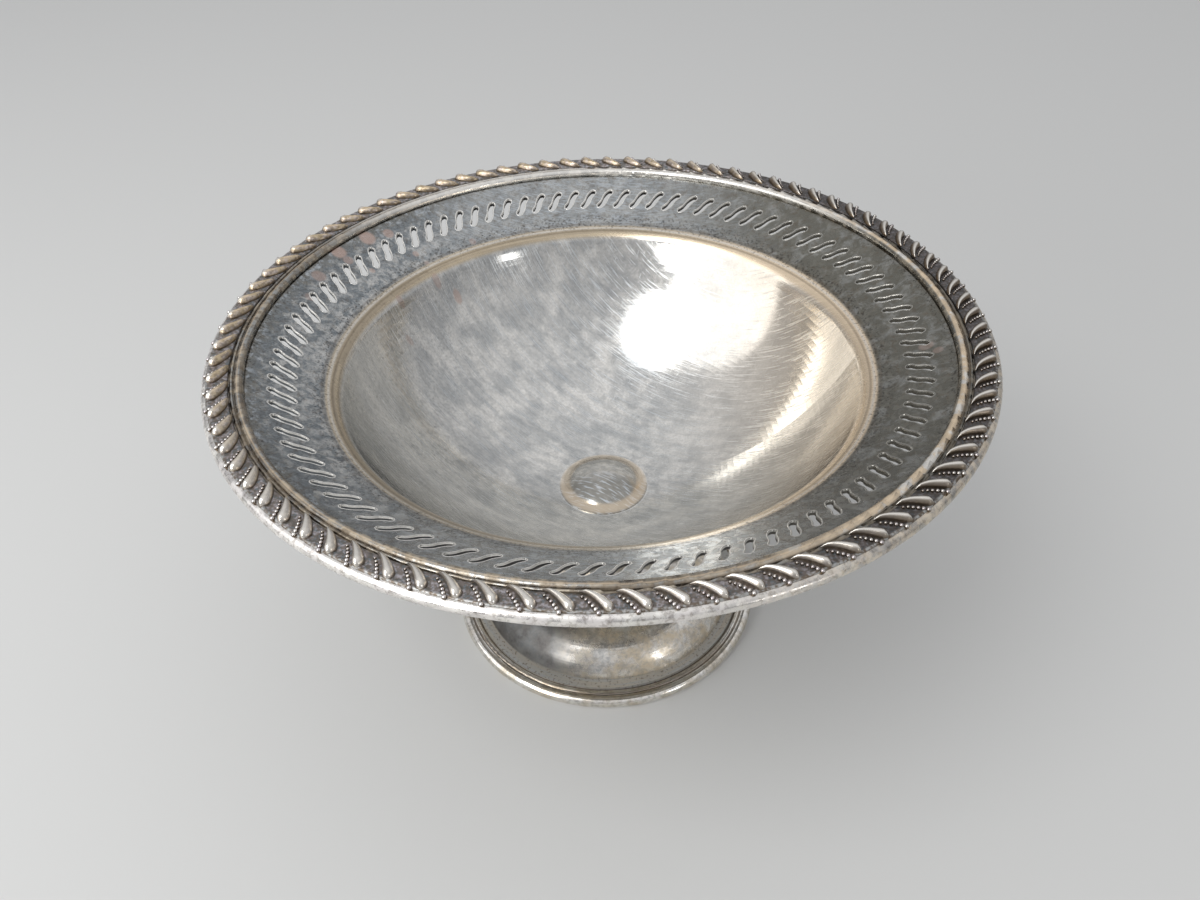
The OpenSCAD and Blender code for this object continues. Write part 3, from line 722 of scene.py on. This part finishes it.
class COMPOTE_OT_border(bpy.types.Operator):
    """Models the gadroons, the beads between them and their ground, in place of the plain strip"""
    bl_idname = "compote.border"
    bl_label = "Gadroon border"

    def execute(self, context):
        scene = context.scene
        border, colours = scene.compote_border, scene.compote_colours
        parts = [
            ("gadroons", build_lobes, lobe_zones, "golden worn silver gadroons"),
            ("bead_rows", build_beads, bead_zones, "lilac grey silver beads"),
            ("gadroon_ground", build_ground, ground_zones, "blackened silver ground"),
        ]
        for name, build, zones, label in parts:
            finish = silver(label, colours, zones)
            piece = new_piece(name, partial(build, border=border), finish)
            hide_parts("gadroon_strip")
        return {"FINISHED"}


class COMPOTE_OT_slot_edges(bpy.types.Operator):
    """Models the rounded edges round the S slots"""
    bl_idname = "compote.slot_edges"
    bl_label = "Slot edges"

    def execute(self, context):
        scene = context.scene
        finish = silver("rubbed silver slot edges", scene.compote_colours, edge_zones)
        build = partial(build_slot_edges, slots=scene.compote_slots)
        new_piece("slot_edges", build, finish)
        return {"FINISHED"}


class COMPOTE_OT_finishes(bpy.types.Operator):
    """Gives the bowl, the foot and the parts that hold them together their finishes"""
    bl_idname = "compote.finishes"
    bl_label = "Finishes"

    def execute(self, context):
        colours = context.scene.compote_colours
        steel = steel_finish(colours)
        finishes = {
            "bowl": silver("spun silver plate of the bowl", colours, bowl_zones),
            "rim_wire": silver("cast silver rim wire", colours, wire_zones),
            "centre_cap": silver("polished silver cap", colours, cap_zones),
            "stem_collar": silver("turned silver collar", colours, collar_zones),
            "foot_shell": silver("spun silver plate of the foot", colours, foot_zones),
            "foot_ring": silver("stepped silver foot ring", colours, ring_zones),
            "foot_filler": cast_finish(colours),
            "base_pad": felt_finish(colours),
            "head_washer": steel,
            "tie_bolt": steel,
            "nut_plate": steel,
            "tie_nut": steel,
        }
        for name, finish in finishes.items():
            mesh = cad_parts[name].data
            mesh.materials.clear()
            mesh.materials.append(finish)
        return {"FINISHED"}


# Lamps: place and width in metres, and the value of the stage that holds the power
LAMPS = {
    "key_lamp": ((-0.31, -0.29, 0.62), 0.42, "key_power"),
    "front_lamp": ((-0.42, -0.50, 0.28), 0.22, "front_power"),
    "left_lamp": ((-0.80, -0.30, 0.50), 0.95, "left_power"),
    "right_lamp": ((0.56, -0.62, 0.26), 0.16, "right_power"),
}
LAMP_AIM = (0, 0, 0.06)


def add_lamp(name, place, size, power):
    """Round area lamp at a place, aimed at the middle of the bowl."""
    data = bpy.data.lights.new(name, "AREA")
    data.shape = "DISK"
    data.size = size
    data.energy = power
    lamp = bpy.data.objects.new(name, data)
    lamp.location = place
    lamp.rotation_euler = (Vector(LAMP_AIM) - Vector(place)).to_track_quat("-Z", "Y").to_euler()
    bpy.context.scene.collection.objects.link(lamp)


def add_floor(scene, size, colours):
    """Plain floor, matt so that it keeps only the bowl's soft shadow."""
    bm = bmesh.new()
    bmesh.ops.create_grid(bm, x_segments=1, y_segments=1, size=size / 2)
    mesh = bpy.data.meshes.new("floor")
    bm.to_mesh(mesh)
    bm.free()
    floor = bpy.data.objects.new("floor", mesh)
    scene.collection.objects.link(floor)
    paint = Finish("plain pale floor", colours, metallic=0.0)
    paint.shader.inputs["Specular IOR Level"].default_value = 0.2
    paint.shader.inputs["Roughness"].default_value = 0.7
    paint.shader.inputs["Base Color"].default_value = colours.floor
    mesh.materials.append(paint.made)


def studio_light(stage, colours):
    """World of plain white light, dimmer from the sides than from above."""
    world = bpy.data.worlds.new("studio")
    world.use_nodes = True
    tree = world.node_tree
    sky = tree.nodes["Background"]
    sky.inputs["Color"].default_value = colours.studio
    height = add(tree, "SeparateXYZ", {}, {0: add(tree, "TexCoord", {}, {}, "Generated")}, "Z")
    level = add(tree, "MapRange", {}, {0: height, 1: 0, 2: 1, 3: stage.side_light, 4: stage.top_light})
    tree.links.new(level, sky.inputs["Strength"])
    return world


def add_camera(scene, stage):
    """Camera in front of the bowl, above it, looking down."""
    pitch, yaw, roll = stage.camera_pitch, stage.camera_yaw, stage.camera_roll
    level = math.cos(pitch)
    forward = Vector((math.sin(yaw) * level, math.cos(yaw) * level, -math.sin(pitch)))
    side = Vector((math.cos(yaw), -math.sin(yaw), 0))
    rise = side.cross(forward)
    right = side * math.cos(roll) + rise * math.sin(roll)
    up = rise * math.cos(roll) - side * math.sin(roll)
    data = bpy.data.cameras.new("camera")
    data.lens = stage.lens
    data.sensor_width = 36
    data.sensor_fit = "HORIZONTAL"
    data.clip_start = 0.01
    camera = bpy.data.objects.new("camera", data)
    scene.collection.objects.link(camera)
    axes = Matrix((right, up, -forward)).transposed().to_4x4()
    camera.matrix_world = Matrix.Translation((0, -stage.camera_back, stage.camera_height)) @ axes
    scene.camera = camera


class COMPOTE_OT_stage(bpy.types.Operator):
    """Sets up the floor, the soft studio light and the camera"""
    bl_idname = "compote.stage"
    bl_label = "Stage"

    def execute(self, context):
        scene = context.scene
        stage, colours = scene.compote_stage, scene.compote_colours
        add_floor(scene, stage.floor_size, colours)
        scene.world = studio_light(stage, colours)
        for name, (place, size, power) in LAMPS.items():
            add_lamp(name, place, size, getattr(stage, power))
        add_camera(scene, stage)
        scene.view_settings.view_transform = "Standard"
        return {"FINISHED"}


class COMPOTE_PT_panel(bpy.types.Panel):
    """Lists the steps that dress the compote bowl"""
    bl_idname = "COMPOTE_PT_panel"
    bl_label = "Compote bowl"
    bl_space_type = "VIEW_3D"
    bl_region_type = "UI"
    bl_category = "Compote"

    def draw(self, context):
        for step in STEPS:
            self.layout.operator(step.bl_idname)
        for group in GROUPS.values():
            held = getattr(context.scene, group)
            for key in held.bl_rna.properties.keys():
                if key not in ("rna_type", "name"):
                    self.layout.prop(held, key)


GROUPS = {
    CompoteBorder: "compote_border",
    CompoteSlots: "compote_slots",
    CompoteColours: "compote_colours",
    CompoteStage: "compote_stage",
}
STEPS = (COMPOTE_OT_stage, COMPOTE_OT_finishes, COMPOTE_OT_slot_edges, COMPOTE_OT_border)


def register():
    for cls in (*GROUPS, *STEPS, COMPOTE_PT_panel):
        bpy.utils.register_class(cls)
    for group, key in GROUPS.items():
        setattr(bpy.types.Scene, key, bpy.props.PointerProperty(type=group))


def unregister():
    for key in GROUPS.values():
        delattr(bpy.types.Scene, key)
    for cls in reversed((*GROUPS, *STEPS, COMPOTE_PT_panel)):
        bpy.utils.unregister_class(cls)


def main():
    register()
    bpy.ops.compote.stage()
    bpy.ops.compote.finishes()
    bpy.ops.compote.slot_edges()
    bpy.ops.compote.border()


if __name__ == "__main__":
    main()
